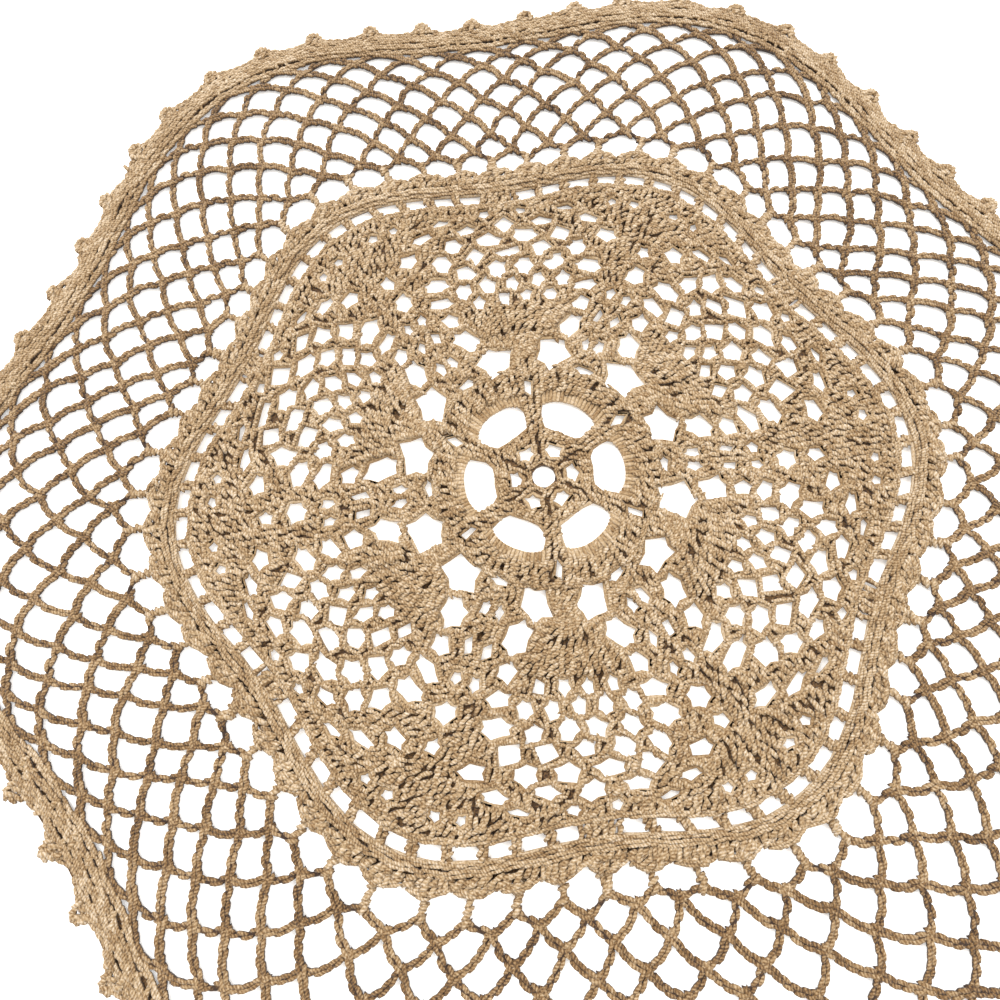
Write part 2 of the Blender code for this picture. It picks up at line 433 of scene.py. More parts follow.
def is_open(point, clear):
    """True inside a hole, or nearer than clear millimetres to its edge."""
    for hole in nearby.get((math.floor(point.x / SQUARE), math.floor(point.y / SQUARE)), []):
        ring = hole.corners
        nearest = min(from_edge(point, a, b) for a, b in zip(ring, ring[1:] + ring[:1]))
        if within(ring, point.x, point.y) or nearest < (PIT_CLEAR if hole.name == "pit" else clear):
            return True
    return False


white_holes = [hole for hole in holes if hole.name != "pit"]
print(len(OPENINGS), "kinds of opening,", len(white_holes), "holes in the medallion")

# %% [markdown]
# ## The chart
# A path is a line of points with the width of its stitches and how high over the table it lies.
# It is tall if it carries wraps and not links, and cored if it needs a thread inside. `Chart`
# collects the paths of one part of the doily. In the charts below, a call gives a path's points,
# then its width and height, in degrees and millimetres. Small uneven shifts come from a seeded
# random source, so the doily is the same every time that the script runs.

# %% Chart
Path = namedtuple("Path", "points wide lift tall cored loose")
EDGE_OUT, EDGE_WIDE = 0.55, 0.95  # a hole's edge cord: how far outside the hole, and how wide
RING_NEAREST = 0.75  # of its width, from a ring of stitches to the hole that it edges
RING_CLEAR = 0.5  # from the ring to the next hole
FINE = 0.5  # between the points of a line that is to be cut at the holes


class Chart:
    def __init__(self, name):
        self.name, self.paths, self.cords = name, [], []

    def cord(self, points, wide, lift):
        """A plain round thread, without stitches on it."""
        self.cords.append(Path([Vector(p) for p in points], wide, lift, False, False, 0.0))

    def chain(self, points, wide, lift, cored=False):
        self.paths.append(Path([Vector(p) for p in points], wide, lift, False, cored, 1.0))

    def tall(self, points, wide, lift, cored=False, loose=1.0):
        self.paths.append(Path([Vector(p) for p in points], wide, lift, True, cored, loose))

    def edged(self, hole, wide=0.8, lift=0.35, out=1.25):
        """A hole's clean edge, and a ring of stitches round it that keeps out of other holes."""
        ring = grown(hole, EDGE_OUT)
        self.cord(ring + ring[:2], EDGE_WIDE, lift)
        ring = []
        for corner in hole.corners:
            away, by = (corner - hole.middle).normalized(), out
            while by > RING_NEAREST * wide and is_open(corner + away * by, RING_CLEAR):
                by -= 0.1
            ring.append(corner + away * by)
        self.tall(ring + ring[:1], wide, lift + HAND.uniform(0, 0.3), loose=0.3)

    def fitted(self, points, repeat, wide, lift, clear):
        """A tall path at one of the six repeats, cut where it would stand in a hole."""
        fine = []
        for a, b in zip(points, points[1:]):
            a, b = at_repeat(Vector(a), repeat), at_repeat(Vector(b), repeat)
            steps = max(1, round((b - a).length / FINE))
            fine += [a.lerp(b, k / steps) for k in range(steps)]
        for run in clipped(fine + [b], clear, fan_too=True):
            self.tall(run[:-1:3] + run[-1:], wide, lift)

    def repeated(self):
        """Copies all paths to every pineapple and lays them in the cloth."""
        once, self.paths = self.paths, []
        for repeat in range(REPEATS):
            for path in once:
                points = [laid(at_repeat(p, repeat)) for p in path.points]
                self.paths.append(path._replace(points=points))


# %% Lines and how they are cut
FAN_SIDE = [  # outline of half a fan, across and along its axis
    (0, 25.0), (2.6, 25.4), (2.8, 29.6), (5.6, 33.2), (8.4, 35.4), (9.6, 38.0), (12.9, 41.8), (0, 44.2),
]


def arc(reach, start, end, step=1.5):
    """Points along a round, between two turns."""
    count = max(2, round(math.radians(abs(end - start)) * reach / step))
    return [place(start + (end - start) * i / count, reach) for i in range(count + 1)]


def post(turn, lean, low, high, steps):
    """Points of a post between two reaches, which leans by some degrees on its way out."""
    return [place(turn + lean * k / steps, low + (high - low) * k / steps) for k in range(steps + 1)]


def spread(count):
    """Even shares from -1 to 1."""
    return [2 * i / (count - 1) - 1 for i in range(count)]


def in_fan(point):
    turn, reach = math.radians(off_axis(turn_of(point))), point.length
    return within(FAN_SIDE, reach * math.sin(turn), reach * math.cos(turn))


def clipped(points, clear, fan_too=False):
    """Lays a path in the cloth and cuts it into the runs of it that lie in close work."""
    runs, run = [], []
    for p in points:
        if (not fan_too and in_fan(p)) or is_open(laid(p), clear):
            runs.append(run)
            run = []
        else:
            run.append(laid(p))
    return [r for r in runs + [run] if len(r) > 1]


# %% [markdown]
# ### Rosette: ring, spokes and petals
# The work starts with a ring. Twelve posts in six pairs stand on it, small arcs join the pairs,
# and six thick spokes carry six close petals. A petal starts with fine ribs, thread wrapped tightly
# over a chain, and its stitches are knobbly outside them. The slit between two petals stays.

# %% Rosette
RIBS, RIB_HALF = 19, 23.5  # a petal's ribs, and degrees from its middle to the last rib
PETAL_POSTS, PETAL_HALF = 20, 27.5
PETAL_REACH = 26.0
PETAL_DROOP = 1.5  # how far a petal's ends sink towards the middle


def droop(share):
    return PETAL_DROOP * abs(share) ** 3


rosette = Chart("rosette")
rosette.chain(arc(3.3, 0, 60, 1.2), 0.75, 0.3)
for side in (-1, 1):
    rosette.tall([(side * 0.65, 3.6), (side * 0.95, 6.4), (side * 0.95, 9.4)], 0.8, 0.5)
for i in range(7):
    turn = 13 + 34 * i / 6
    rosette.tall([place(turn, 8.4), place(turn, 10.4)], 0.95, 0.4)
rosette.chain(arc(10.4, 10, 50), 0.7, 0.45)
for offset in (-1.1, 0.0, 1.1):
    foot = (offset * 0.95, 9.4 if offset else 10.0)
    rosette.tall([foot, (offset, 13.4)], 0.95, 0.5 + 0.1 * abs(offset))
    rosette.tall([(offset, 13.6), (offset * 1.5, 18.8)], 1.0, 0.6)
rosette.repeated()
for repeat in range(REPEATS):
    lobe = repeat * SECTOR + LOBE
    for share in spread(RIBS):
        rib = [laid(place(lobe + RIB_HALF * share, reach - droop(share))) for reach in (18.0, 19.6, 21.3)]
        rosette.cord(rib, 0.70, 0.65 + HAND.uniform(-0.15, 0.15))
    for share in spread(PETAL_POSTS):
        lean, low = share * 3 + HAND.uniform(-3, 3), 20.5 + HAND.uniform(-0.5, 0.5) - droop(share)
        points = post(lobe + PETAL_HALF * share, lean, low, PETAL_REACH - droop(share), 9)
        for run in clipped(points, 0.75, fan_too=True):
            rosette.tall([run[0], run[-1]], 1.1, 0.75 + HAND.uniform(-0.15, 0.3))
    edge = [place(lobe + PETAL_HALF * share, PETAL_REACH - 0.1 - droop(share)) for share in spread(25)]
    for run in clipped(edge, 0.5, fan_too=True):
        rosette.chain(run, 0.8, 1.0)
for hole in white_holes:
    if hole.middle.length < ROSETTE_REACH:
        ring = grown(hole, 0.35)
        rosette.cord(ring + ring[:2], 0.8, 0.35)
print("rosette:", len(rosette.paths), "paths")

# %% [markdown]
# ### Pineapples: fan and mesh
# A pineapple starts as a fan of long stitches from one point, in two tiers. A mesh of small loops
# stands on the fan and narrows to the tip. Its thick cords are drawn as the edges of its holes:
# two edges lie side by side between two holes.

# %% Pineapples
fan = Chart("pineapple_fans")
for repeat in range(REPEATS):
    for u in spread(12):
        end = (8.2 * u, 36.4 - 1.2 * u * u + HAND.uniform(-0.4, 0.4))
        line = [(1.9 * u, 28.4 + 0.8 * abs(u)), (3.8 * u, 31.5), end]
        fan.fitted(line, repeat, 1.15, 0.5 + HAND.uniform(0, 0.4), 0.95)
    for u in spread(19):
        end = (12.4 * u + HAND.uniform(-0.4, 0.4), 43.2 - 1.9 * u * u + HAND.uniform(-0.6, 0.4))
        line = [(7.4 * u, 35.9 - 1.0 * u * u), end]
        fan.fitted(line, repeat, 1.1, 0.75 + HAND.uniform(-0.15, 0.45), 0.95)
    for x in (-2.4, -1.2, 0.0, 1.2, 2.4):
        fan.fitted([(x * 1.1, 24.6), (x * 0.8, 29.6), (x * 1.3, 32.6)], repeat, 1.1, 0.6, 0.8)
mesh = Chart("pineapple_mesh")
for hole in white_holes:
    if hole.name == "mesh":
        mesh.edged(hole, 0.65, 0.3, 1.0)
print("pineapples:", len(fan.paths), "fan paths and", len(mesh.paths), "mesh paths")

# %% [markdown]
# ### Shells between the pineapples
# Columns of shells climb on the lobes and fork past the pineapples. They could be drawn stitch by
# stitch; it is shorter to fill whole rounds with tall stitches, leave out those that would stand
# in a hole or on a pineapple's fan, and then edge each hole with a ring of stitches.

# %% Rows of posts
POST_PITCH = 1.27
POST_WIDE = 1.1
POST_CLEAR = 1.35  # from a post's middle line to a hole
POST_LEAN, POST_STRAY = 2, 14  # sideways for 100 outwards, all alike and each for itself
SHORTEST_POST = 0.8


def row_of_posts(chart, low, high, lift=0.5, clear=POST_CLEAR, drift=None):
    """Fills a round between two edges, which are given as reach for a turn, with tall stitches."""
    middle = (low(180) + high(180)) / 2
    count = round(math.radians(360) * middle / POST_PITCH)
    shift = HAND.random()
    for i in range(count):
        turn = 360 * (i + shift) / count
        foot, top = low(turn) + HAND.uniform(-0.4, 0.3), high(turn) + HAND.uniform(-0.3, 0.4)
        if top - foot < SHORTEST_POST:
            continue
        sideways = 0.01 * (POST_LEAN + HAND.uniform(-POST_STRAY, POST_STRAY))
        sideways += drift(turn) if drift else 0
        lean = math.degrees(sideways * (top - foot) / foot)
        points = post(turn, lean, foot, top, max(2, round((top - foot) / FINE)))
        for run in clipped(points, clear):
            wide = POST_WIDE * HAND.uniform(0.88, 1.12)
            chart.tall([run[0], run[-1]], wide, lift + HAND.uniform(-0.2, 0.45))


# %% Shell rounds
ROUNDS = [25.4, 29.0, 32.6, 36.8, 41.0, 45.4, 49.8, 54.4, 58.8, 63.2, 67.6, 72.4, 77.0]
FORK_REACH = 54  # where the columns fork


def band_foot(turn):
    return lobed(LADDER, turn) - 4.9


def along_arm(turn):
    """Beside a pineapple's upper half, posts run with the arm, in towards the pineapple's tip."""
    inward = 0.9 * (1 - off_axis(turn) / LOBE)
    return -inward if turn % SECTOR < LOBE else inward


def out_of_column(turn):
    """In the columns, posts spread like a fan to both sides of a lobe's middle."""
    return 0.6 * max(-1, min(1, (turn % SECTOR - LOBE) / 7))


shells = Chart("shells")
for low, high in zip(ROUNDS, ROUNDS[1:]):
    drift = along_arm if low > FORK_REACH else out_of_column
    foot, head = (lambda t: min(low, band_foot(t))), (lambda t: min(high, band_foot(t)))
    row_of_posts(shells, foot, head, drift=drift)
for hole in white_holes:
    if hole.name != "mesh" and hole.middle.length > ROSETTE_REACH:
        shells.edged(hole)
print("shells:", len(shells.paths), "paths")

# %% [markdown]
# ### Band, ladder and edging
# Outside the shells a close band, a ladder of square gaps and a raised edging run round all six
# lobes. They follow one curve, so each is a row between two lobed edges.

# %% Band and rails
EDGE_SHELLS = 60  # round the whole edging, one under each stem of the net
edging = Chart("ladder_and_edging")


def beside_ladder(gap, swell=0.0):
    """A line beside the ladder's middle, which swells a little out at each edge shell."""
    return lambda turn: lobed(LADDER, turn) + gap + swell * math.cos(math.radians(EDGE_SHELLS * turn))


def wandering(line, step, most):
    """Points along a round which stray from it a little, as hand work does."""
    turns = [i * step for i in range(round(360 / step))]
    return [laid(place(turn, line(turn) + HAND.uniform(-most, most))) for turn in turns]


row_of_posts(edging, beside_ladder(-5.0), beside_ladder(-2.4))
for gap, lift, wide in ((-2.1, 0.7, 0.95), (2.3, 0.7, 0.95), (3.5, 1.1, 1.0)):
    ring = wandering(beside_ladder(gap), 1.5, 0.32)
    edging.chain(ring + ring[:1], wide, lift)
for gap in (-1.8, 1.9):
    ring = wandering(beside_ladder(gap), 3.0, 0.15)
    edging.cord(ring + ring[:2], 0.9, 0.35)

# %% Ladder's rungs
LADDER_TURNS = (2.4, 7.3, 12.2, 17.1, 22.0)  # from a lobe's middle, to both sides
LADDER_HALF = 2.0

for repeat in range(REPEATS):
    for turn in LADDER_TURNS:
        for side in (-1, 1):
            at = repeat * SECTOR + LOBE + side * (turn + HAND.uniform(-0.3, 0.3))
            for aside in (-0.35, 0.35):  # a rung is two posts side by side
                foot = place(at + aside, lobed(LADDER, at) - LADDER_HALF)
                top = place(at + aside + 0.5, lobed(LADDER, at) + LADDER_HALF)
                edging.tall([laid(foot), laid(top)], 1.0, 0.3, cored=True)
    for x in (-4.2, -2.6, -1.0, 0.6, 2.2, 3.8):  # posts close together over a pineapple's tip
        foot, top = Vector((x, 71.6)), Vector((x * 0.9, 75.6))
        edging.tall([laid(at_repeat(p, repeat)) for p in (foot, top)], 0.95, 0.5, cored=True)

# %% Edge shells
for i in range(EDGE_SHELLS):
    turn, raised, heads = i * 360 / EDGE_SHELLS, HAND.uniform(0, 0.5), []
    for k in (-2, -1, 0, 1, 2):
        foot = turn + 0.9 * k + HAND.uniform(-0.3, 0.3)
        top = turn + 1.25 * k + HAND.uniform(-0.3, 0.3)
        rise = 7.7 - 0.32 * k * k + HAND.uniform(-0.4, 0.4)
        heads.append(laid(place(top, lobed(LADDER, top) + rise)))
        edging.tall([laid(place(foot, lobed(LADDER, foot) + 4.6)), heads[-1]], 1.3, 0.75 + raised)
    edging.chain(heads, 0.85, 0.8 + raised)
    edging.cord([head * (1 + 0.4 / head.length) for head in heads], 0.9, 0.6)
row_of_posts(edging, beside_ladder(4.9), beside_ladder(7.0, 0.5), lift=0.7, clear=0)
print("ladder and edging:", len(edging.paths), "paths")

# %% [markdown]
# ### Net
# Sixty columns of chain loops fill the way to the border. A loop stands on the tops of the two
# loops below it, so one function gives a knot's place and each loop joins three knots.

# %% Net
NET_COLUMNS = 60
NET_KNOTS = [0.13, 0.20, 0.335, 0.47, 0.60, 0.725, 0.84, 0.935, 1.0]  # share of the way out
NET_STRAY = (0.28, 0.009)  # of a knot, in degrees and in share of the way out
RISING, FALLING = 1.26, 1.1  # widths of a loop's two sides
LOOP_STEPS = 6  # on each side
LOOP_STEEP = 1.8  # 1 would make a loop's sides straight
shifts = {}


def knot(row, column):
    """Turn and share of a knot. Every second row stands half a column further on."""
    key = row, column % NET_COLUMNS
    if key not in shifts:
        free = 0.2 if row == len(NET_KNOTS) - 1 else 1
        shifts[key] = [HAND.gauss(0, stray) * free for stray in NET_STRAY]
    turn = (column + 0.5 * (row % 2)) * 360 / NET_COLUMNS
    return turn + shifts[key][0], NET_KNOTS[row] + shifts[key][1]


def climb(foot, top):
    """Points from a loop's foot to its top, which rise fast at first."""
    points = []
    for i in range(LOOP_STEPS):
        aside = i / LOOP_STEPS
        out = 1 - (1 - aside) ** LOOP_STEEP
        points.append(Vector((foot[0] + (top[0] - foot[0]) * aside, foot[1] + (top[1] - foot[1]) * out)))
    return points


inner_net, outer_net = Chart("inner_net"), Chart("outer_net")
for row in range(len(NET_KNOTS) - 1):
    chart = inner_net if row < 4 else outer_net
    for column in range(NET_COLUMNS):
        far = column + 1
        left, right = knot(row, column), knot(row, far)
        top = knot(row + 1, column if row % 2 == 0 else far)
        turns = [left[0], top[0], right[0]]
        for i in (1, 2):
            while turns[i] < turns[i - 1] - 1:
                turns[i] += 360
        left, top, right = zip(turns, (left[1], top[1], right[1]))
        line = [*climb(left, top), Vector(top), *climb(right, top)[::-1]]
        points = [laid(place(turn, net_reach(turn, share))) for turn, share in line]
        chart.chain(points[: LOOP_STEPS + 1], RISING, 0.05, cored=True)
        chart.chain(points[LOOP_STEPS:], FALLING, 0.0, cored=True)
for column in range(NET_COLUMNS):
    turn, share = knot(0, column)
    for aside in (-0.9, 0.9) if column % 10 == 0 else (0,):  # a stem over a pineapple's tip is double
        foot = laid(place(turn + aside, net_reach(turn, -0.02)))
        inner_net.tall([foot, laid(place(turn, net_reach(turn, share + 0.02)))], 1.25, 0.2, cored=True)
print("net:", len(inner_net.paths) + len(outer_net.paths), "paths")

# %% [markdown]
# ### Border and picots
# A few close rows end the doily. Their chains show more than their posts, because the rows are
# low. Sixty small picots stand on the last row, each a short arch of stitches round a post.

# %% Border
SCALLOPS = 60
BORDER_STITCHES = 200
border = Chart("border")


def beside_rim(gap, swell=0.0):
    """A line beside the rim, which swells a little out at each picot."""
    return lambda turn: rim_reach(turn) + gap + swell * math.cos(math.radians(SCALLOPS * turn))


for gap, swell, lift in ((-5.6, 0, 0.4), (-4.1, 0, 0.8), (-2.8, 0.1, 0.9), (-1.4, 0.3, 0.8), (0.0, 0.9, 0.5)):
    ring = []
    for i in range(BORDER_STITCHES):
        turn = 360 / BORDER_STITCHES * i + HAND.uniform(-0.5, 0.5)
        ring.append(place(turn, beside_rim(gap, swell)(turn) + HAND.uniform(-0.42, 0.42)))
    border.chain(ring + ring[:1], 0.95, lift)
for low, high in ((-4.6, -2.6), (-2.4, 0.2)):
    for i in range(BORDER_STITCHES):
        turn = (i + HAND.uniform(-0.4, 0.4)) * 360 / BORDER_STITCHES
        foot, top = beside_rim(low)(turn), beside_rim(high, 0.4)(turn) + HAND.uniform(-0.3, 0.3)
        points = [place(turn, foot), place(turn + HAND.uniform(0.2, 1.2), top)]
        border.tall(points, 1.15, 0.35 + HAND.uniform(-0.1, 0.4))

# %% Picots
PICOT_ARCH = ((-0.8, 0), (-0.5, 0.75), (0, 1), (0.5, 0.75), (0.8, 0))  # degrees aside, share of its rise

for column in range(SCALLOPS):
    turn = column * 360 / SCALLOPS + HAND.uniform(-0.4, 0.4)
    foot, rise = rim_reach(turn) + 0.3, HAND.uniform(2.1, 2.7)
    arch = [place(turn + aside, foot + rise * share) for aside, share in PICOT_ARCH]
    border.tall(arch, 1.1, 0.6, loose=0.3)
    border.tall([place(turn, foot - 0.5), place(turn, foot + rise)], 1.3, 0.7, loose=0.3)
print("border:", len(border.paths), "paths")

# %% [markdown]
# ## The stitches
# Seen from above, a chain is a plait: each link shows two strands that lean apart like the sides
# of a V. A tall stitch shows slanting wraps one above the other. Both are made of one strand
# shape, a short bent tube with few sides, because there will be thousands of them.

# %% Strand and stitches
Bend = namedtuple("Bend", "x y z radius")
SIDES = 4


def strand(bends, verts, faces, crowns, threads):
    """Adds a closed tube along its bends, given in millimetres. Crown is 1 on top, 0 beneath: the cotton is
    painted lighter on top and darker beneath by it, as painted light and shade.
    """
    first, run = len(verts), 0.0
    for i, bend in enumerate(bends):
        here = Vector(bend[:3])
        if i:
            run += (here - Vector(bends[i - 1][:3])).length
        if bend.radius == 0:
            verts.append(here)
            crowns.append(0.0)
            threads.append((run, 0.5))
            continue
        ahead = Vector(bends[i + 1][:3]) - Vector(bends[i - 1][:3])
        side = ahead.cross(Vector((0, 0, 1))).normalized()
        top = side.cross(ahead).normalized()
        for s in range(SIDES):
            angle = 2 * math.pi * (s + 0.5) / SIDES
            verts.append(here + bend.radius * (side * math.sin(angle) + top * math.cos(angle)))
            crowns.append(0.5 + 0.5 * math.cos(angle))
            threads.append((run, s / SIDES))
    rings = len(bends) - 2
    last = first + 1 + rings * SIDES
    for s in range(SIDES):
        t = (s + 1) % SIDES
        faces.append((first, first + 1 + s, first + 1 + t))
        for r in range(rings - 1):
            low, high = first + 1 + r * SIDES, first + 1 + (r + 1) * SIDES
            faces.append((low + s, high + s, high + t, low + t))
        faces.append((last, last - SIDES + t, last - SIDES + s))


def stitch(name, strands):
    """An object of a few strands, which the graphs below copy along the paths."""
    verts, faces, crowns, threads = [], [], [], []
    for bends in strands:
        strand(bends, verts, faces, crowns, threads)
    data = bpy.data.meshes.new(name)
    data.from_pydata([v * MM for v in verts], [], faces)
    # The crown carries painted light on a strand's top and painted shade beneath it.
    data.attributes.new("crown", "FLOAT", "POINT").data.foreach_set("value", crowns)
    layer = data.attributes.new("thread", "FLOAT_VECTOR", "POINT")
    layer.data.foreach_set("vector", [v for u in threads for v in (*u, 0)])
    data.shade_smooth()
    return bpy.data.objects.new(name, data)


LINK_STEP = 0.95  # how far a link's right strand lies ahead of its left one
LEFT_STRAND = [
    Bend(-0.34, -1.95, 0.40, 0),
    Bend(-0.42, -1.35, 0.66, 0.42),
    Bend(-0.38, -0.40, 0.84, 0.48),
    Bend(-0.20, 0.60, 0.68, 0.38),
    Bend(-0.08, 1.15, 0.45, 0),
]
RIGHT_STRAND = [bend._replace(x=-bend.x, y=bend.y + LINK_STEP) for bend in LEFT_STRAND]
WRAP = [
    Bend(-0.72, -1.08, 0.30, 0),
    Bend(-0.52, -0.70, 0.60, 0.46),
    Bend(0.0, 0.0, 0.92, 0.60),
    Bend(0.52, 0.70, 0.60, 0.46),
    Bend(0.72, 1.08, 0.30, 0),
]
chain_link = stitch("chain_link", [LEFT_STRAND, RIGHT_STRAND])
tall_wrap = stitch("tall_wrap", [WRAP])
print("a chain link has", len(chain_link.data.polygons), "faces and a wrap", len(tall_wrap.data.polygons))

# %% [markdown]
# ## Cotton
# Crochet cotton is matt and a little fuzzy. Its colour is tan and speckled because each strand is
# twisted, and it is painted darker where the light doesn't reach between the stitches: painted
# shade. How light it is comes from the crown of a strand, which paints light on its top and shade
# beneath it, a shade of tan that differs at random from stitch to stitch, two sizes of noise and
# the twist. A lone chain of the net is painted darker, with painted shade above all on its flanks.

# %% Cotton material
# How light the cotton is, to its colour: the low stops are painted shade for gaps and undersides, the top
# stop painted light for a strand's top.
LIGHTNESS = [
    (0.0, (0.022, 0.008, 0.002)),
    (0.30, (0.155, 0.082, 0.026)),
    (0.62, (0.342, 0.243, 0.136)),
    (1.0, (0.565, 0.485, 0.39)),
]
PLY_PITCH = 0.6  # millimetres of thread to one twist of its plies
SPECKLE_SIZE = 0.45 * MM
PATCH_SIZE = 30 * MM

cotton, graph, surface = shader("cotton")
where = graph.add("ShaderNodeTexCoord")["Object"]


def stored(name, output="Fac"):
    """A value that the stitches carry."""
    return graph.add("ShaderNodeAttribute", {"attribute_name": name})[output]


def noise(size):
    inputs = {"Vector": where, "Scale": 1 / size, "Detail": 2.0}
    return graph.add("ShaderNodeTexNoise", None, inputs)["Fac"]


lone, crown, shade = stored("lone"), stored("crown"), stored("shade")
parts = graph.add("ShaderNodeSeparateXYZ", None, {0: stored("thread", "Vector")})
ply = (parts["X"] * (2 * math.pi / PLY_PITCH) + parts["Y"] * (2 * math.pi)).sine()
speckle, patch = noise(SPECKLE_SIZE), noise(PATCH_SIZE)
# Painted light and shade: the crown paints a strand's top lighter and its flanks and underside darker, and a
# lone net chain is painted darker, most of all on its flanks.
light = 0.03 + 0.62 * crown - lone * (0.15 + 0.42 * (1 - crown))
light = light + 0.95 * (speckle - 0.5) + 0.28 * (shade - 0.5) + 0.22 * (patch - 0.5) + 0.13 * ply
colour = graph.add("ShaderNodeValToRGB", {"stops": LIGHTNESS}, {"Fac": light})["Color"]
graph.tree.links.new(colour.socket, surface.inputs["Base Color"])
relief = {"Strength": 0.5, "Distance": 0.15 * MM, "Height": 0.5 * ply + speckle}
bump = graph.add("ShaderNodeBump", None, relief)["Normal"]
graph.tree.links.new(bump.socket, surface.inputs["Normal"])
surface.inputs["Roughness"].default_value = 0.88
surface.inputs["Sheen Weight"].default_value = 0.12

# %% [markdown]
# ## From paths to stitches
# The first graph turns each path into evenly spaced points, puts a link or a wrap on each, turned
# to follow the path, and shakes it a little. The second makes the thread inside the stitches: a
# round cord along each open chain and hole, and under the close work one sheet of thread with
# the holes left out, which is painted dark as the shade in the gaps between the stitches.

# %% Graph helpers


def new_tree(name, sockets):
    """A graph for a modifier with the inputs it is to have, and the node that gives them."""
    tree = bpy.data.node_groups.new(name, "GeometryNodeTree")
    tree.interface.new_socket("Geometry", in_out="INPUT", socket_type="NodeSocketGeometry")
    for label, kind, value in sockets:
        made = tree.interface.new_socket(label, in_out="INPUT", socket_type="NodeSocket" + kind)
        if value is not None:
            made.default_value = value
    tree.interface.new_socket("Geometry", in_out="OUTPUT", socket_type="NodeSocketGeometry")
    graph = Graph(tree)
    return graph, graph.add("NodeGroupInput")


def carried(graph, name, kind="FLOAT"):
    """A value that the lines carry on their points."""
    return graph.add("GeometryNodeInputNamedAttribute", {"data_type": kind}, {"Name": name})["Attribute"]


def marked(graph, geometry, name, value, domain="POINT"):
    """The geometry with one more value on it, for the shader."""
    inputs = {"Geometry": geometry, "Name": name, "Value": value}
    settings = {"data_type": "FLOAT", "domain": domain}
    return graph.add("GeometryNodeStoreNamedAttribute", settings, inputs)["Geometry"]


def split_by(graph, geometry, selection):
    """The lines at points where the selection holds, and the others."""
    inputs = {"Geometry": geometry, "Selection": selection}
    split = graph.add("GeometryNodeSeparateGeometry", {"domain": "POINT"}, inputs)
    return [graph.add("GeometryNodeMeshToCurve", None, {0: split[output]})[0] for output in (0, 1)]


def joined(graph, halves):
    join = graph.add("GeometryNodeJoinGeometry")
    for half in halves:
        graph.tree.links.new(half.socket, join.node.inputs[0])
    return join[0]


def finished(graph, geometry, material):
    done = graph.add("GeometryNodeSetMaterial", None, {"Geometry": geometry, "Material": material})[0]
    graph.add("NodeGroupOutput", None, {0: done})
    return graph.tree


# %% Stitches along the paths
LINK_SHAKE = (0.06, 0.14, 0.07)  # most a stitch tips, rolls and turns, in radians
WRAP_SHAKE = (0.20, 0.30, 0.50)


def stitches_on(graph, ask, curves, stitch_name, most, seed):
    """Copies of one stitch along curves, each turned to its curve and a little uneven."""
    spacing = {"Curve": curves, "Length": ask[stitch_name + " pitch"]}
    points = graph.add("GeometryNodeResampleCurve", {"mode": "LENGTH"}, spacing)["Curve"]
    heading = graph.add("GeometryNodeInputTangent")["Tangent"]
    axes = {"axis": "Y", "pivot_axis": "Z"}
    facing = graph.add("FunctionNodeAlignRotationToVector", axes, {"Vector": heading})["Rotation"]
    limits = {"Min": [-v for v in most], "Max": list(most), "Seed": seed}
    shake = graph.add("FunctionNodeRandomValue", {"data_type": "FLOAT_VECTOR"}, limits)[0]
    looser = {0: shake, "Scale": carried(graph, "loose")}
    shake = graph.add("ShaderNodeVectorMath", {"operation": "SCALE"}, looser)[0]
    tilt = graph.add("FunctionNodeEulerToRotation", None, {0: shake})[0]
    local = {"rotation_space": "LOCAL"}
    facing = graph.add("FunctionNodeRotateRotation", local, {0: facing, 1: tilt})[0]
    limits = {"Min": 0.9, "Max": 1.12, "Seed": seed + 1}
    swell = graph.add("FunctionNodeRandomValue", {"data_type": "FLOAT"}, limits)[1]
    size = graph.add("ShaderNodeCombineXYZ", None, {0: carried(graph, "wide"), 1: swell, 2: swell})[0]
    source = graph.add("GeometryNodeObjectInfo", None, {"Object": ask[stitch_name]})["Geometry"]
    inputs = {"Points": points, "Instance": source, "Rotation": facing, "Scale": size}
    copies = graph.add("GeometryNodeInstanceOnPoints", None, inputs)["Instances"]
    tone = graph.add("FunctionNodeRandomValue", {"data_type": "FLOAT"}, {"Seed": seed + 2})[1]
    return marked(graph, copies, "shade", tone, "INSTANCE")


def crochet_tree():
    graph, ask = new_tree("crochet", [
        ("Link", "Object", None), ("Wrap", "Object", None),
        ("Link pitch", "Float", 1.9 * MM), ("Wrap pitch", "Float", 1.05 * MM),
        ("Cotton", "Material", None),
    ])
    tall, chains = split_by(graph, ask["Geometry"], carried(graph, "tall", "BOOLEAN"))
    wraps = stitches_on(graph, ask, tall, "Wrap", WRAP_SHAKE, 3)
    links = stitches_on(graph, ask, chains, "Link", LINK_SHAKE, 17)
    both = joined(graph, (wraps, links))
    real = graph.add("GeometryNodeRealizeInstances", None, {"Geometry": both})[0]
    return finished(graph, real, ask["Cotton"])


# %% Thread inside the stitches


